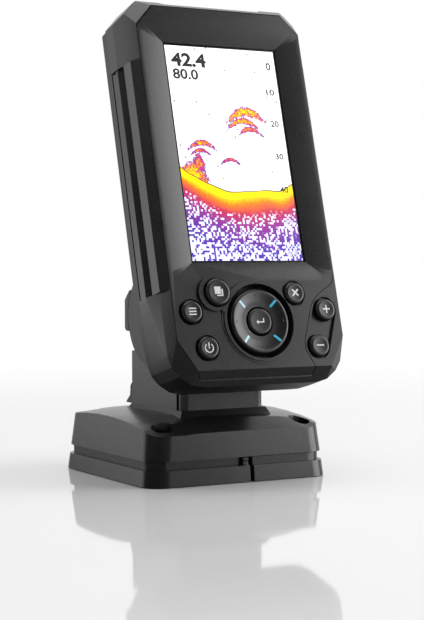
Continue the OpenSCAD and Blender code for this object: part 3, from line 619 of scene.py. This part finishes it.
dark_print = glow("number_dark", (0.012, 0.012, 0.015), 0.0)
pale_print = glow("number_pale", (0.62, 0.60, 0.70), 0.4)
MARGIN_LEFT, MARGIN_RIGHT = 2.4, 2.2         # mm between a number and the side of the picture
number("number_depth", "42.4", MARGIN_LEFT - picture_x, picture_y - 6.2, 16.8, 6.2, dark_print, 0.035)
number("number_warmth", "80.0", MARGIN_LEFT - picture_x, picture_y - 12.7, 12.2, 4.7, dark_print, 0.025)
SCALE_DROPS = (7.0, 19.0, 33.5, 48.4, 63.4, 78.9, 91.9)      # mm below the top of the picture
for step, drop in enumerate(SCALE_DROPS):
    tall = 3.6 if step in (0, 6) else 2.8
    wide = tall * (0.68 if step == 0 else 1.45)
    number("number_scale_%d" % step, str(10 * step), picture_x - MARGIN_RIGHT - wide,
           picture_y - drop, wide, tall, pale_print if step in (5, 6) else dark_print, 0.02)
print("numbers set")

# %% [markdown]
# ## Camera
# A long lens a little above the table keeps the upright lines nearly parallel. The camera stands
# to the left of the object, so both the face and the left side show.

# %% Camera
TARGET = Vector((9.9, 0.0, 72.2)) * MM       # the point that the camera looks at
AZIMUTH, ELEVATION, ROLL = (math.radians(a) for a in (-29.25, 1.87, -0.18))
DISTANCE = 0.7265

lens_data = bpy.data.cameras.new("camera")
lens_data.lens, lens_data.sensor_width = 93.4, 36.0
lens_data.clip_start, lens_data.clip_end = 0.01, 50
camera = bpy.data.objects.new("camera", lens_data)
scene.collection.objects.link(camera)
scene.camera = camera
towards_camera = Vector((math.sin(AZIMUTH) * math.cos(ELEVATION),
                         -math.cos(AZIMUTH) * math.cos(ELEVATION), math.sin(ELEVATION)))
camera.location = TARGET + towards_camera * DISTANCE
camera.rotation_mode = "QUATERNION"
look = (-towards_camera).to_track_quat("-Z", "Y")
camera.rotation_quaternion = look @ Matrix.Rotation(ROLL, 3, "Z").to_quaternion()
print("camera at", [round(c, 3) for c in camera.location])

# %% [markdown]
# ## The floor
# The object stands on a pale polished floor that fades into white. To a camera ray the floor is
# almost white; to the light that bounces off it, it is a mid grey, so that the black case isn't
# lit from below. Further out it fades into plain white, and near the object it keeps the shadow
# and the mirror image.

# %% Floor
FLOOR_SEEN, FLOOR_BOUNCED = (0.93, 0.93, 0.93), (0.22, 0.22, 0.22)
FADE_FROM, FADE_TO = 0.15, 0.75      # metres from the object
FLOOR_REACH = 6
FLOOR_DROP = 0.05 * MM               # keeps the floor from touching the foot's underside


def studio_floor():
    finish = Finish("polished_floor")
    path = finish.add("LightPath", out="Is Camera Ray")
    glossy = Wire(finish, path.socket.node.outputs["Is Glossy Ray"])
    tone = finish.mix(path, FLOOR_BOUNCED, FLOOR_SEEN)
    near = finish.add("BsdfPrincipled", None, {"Base Color": tone, "Roughness": 0.05, "IOR": 1.45})
    far = finish.add("Emission", None, {"Color": (1.0, 1.0, 1.0), "Strength": 1.0})
    reach = finish.add("VectorMath", {"operation": "LENGTH"}, {0: finish.place()}, out=1)
    fade = reach.step(FADE_FROM, FADE_TO) * path.math("MAXIMUM", glossy)
    return finish.surface(finish.add("MixShader", None, {0: fade, 1: near, 2: far}))


floor_z = cad_box[0].z - FLOOR_DROP
floor_mesh = bpy.data.meshes.new("floor")
floor_mesh.from_pydata([(x, y, floor_z) for x, y in box_outline(-FLOOR_REACH, -FLOOR_REACH,
                                                                FLOOR_REACH, FLOOR_REACH)],
                       [], [(0, 1, 2, 3)])
floor_mesh.materials.append(studio_floor())
floor = bpy.data.objects.new("floor", floor_mesh)
scene.collection.objects.link(floor)
print("floor", 2 * FLOOR_REACH, "m wide")

# %% [markdown]
# ## The white wall
# The wall is the world itself: white where the camera looks past the object, and white in the
# mirror images of what stands behind it on the right. For all other light the world is nearly
# black, so that the lamps alone shape the case.

# %% World
DIM, WHITE = (0.035, 0.035, 0.037), (1.0, 1.0, 1.0)
sky = bpy.data.worlds.new("studio")
scene.world = sky
air = Finish("studio", world=sky)
seen = air.add("LightPath", out="Is Camera Ray")
mirrored = Wire(air, seen.socket.node.outputs["Is Glossy Ray"])
through = Wire(air, seen.socket.node.outputs["Is Transmission Ray"])
to_right = air.add("SeparateXYZ", None, {0: air.add("TexCoord", out="Generated")})
to_back = Wire(air, to_right.socket.node.outputs[1])
behind = to_back.step(-0.05, 0.35) * to_right.step(-0.40, -0.05)
pale = seen.math("MAXIMUM", through).math("MAXIMUM", mirrored * behind)
backdrop = air.add("Background", None, {"Color": air.mix(pale, DIM, WHITE), "Strength": 1.0})
air.add("OutputWorld", None, {"Surface": backdrop})
print("world", sky.name)

# %% [markdown]
# ## Soft lights
# Moulded black plastic shows little of its own colour: what is seen is the mirror image of the
# lamps. Each large soft box is placed where one group of surfaces mirrors it: a wide one on the
# right for the face, a low one for the stand's front, a weak pair on the left for the side walls,
# and one above for the upper surfaces.

# %% Lights
LIGHT_HEART = 0.08                   # height, in metres, that the lights are set round


def around(angle, rise, reach):
    """A place at this angle round the object, from the front towards the right, and this rise."""
    a, e = math.radians(angle), math.radians(rise)
    return (reach * math.sin(a) * math.cos(e), -reach * math.cos(a) * math.cos(e),
            LIGHT_HEART + reach * math.sin(e))


def softbox(name, at, towards, size, radiance):
    light = bpy.data.lights.new(name, "AREA")
    light.shape, light.size, light.size_y = "RECTANGLE", *size
    light.energy = radiance * math.pi * size[0] * size[1]
    thing = bpy.data.objects.new(name, light)
    scene.collection.objects.link(thing)
    thing.location = at
    thing.rotation_mode = "QUATERNION"
    thing.rotation_quaternion = (Vector(towards) - Vector(at)).to_track_quat("-Z", "Y")


heart = (0, 0, 0.1)
softbox("box_right", around(62, 18, 1.1), heart, (0.8, 0.85), 5.6)
softbox("box_low", around(38, 6, 1.1), (0, 0, 0.03), (0.36, 0.24), 4.6)
softbox("box_left_rear", around(-135, 16, 1.2), (0, 0, 0.15), (0.8, 0.9), 1.5)
softbox("box_left_front", around(-70, 32, 1.1), heart, (0.6, 0.5), 1.2)
softbox("box_top", (0, -0.1, 1.3), heart, (1.2, 1.2), 2.2)
scene.view_settings.view_transform = "Standard"
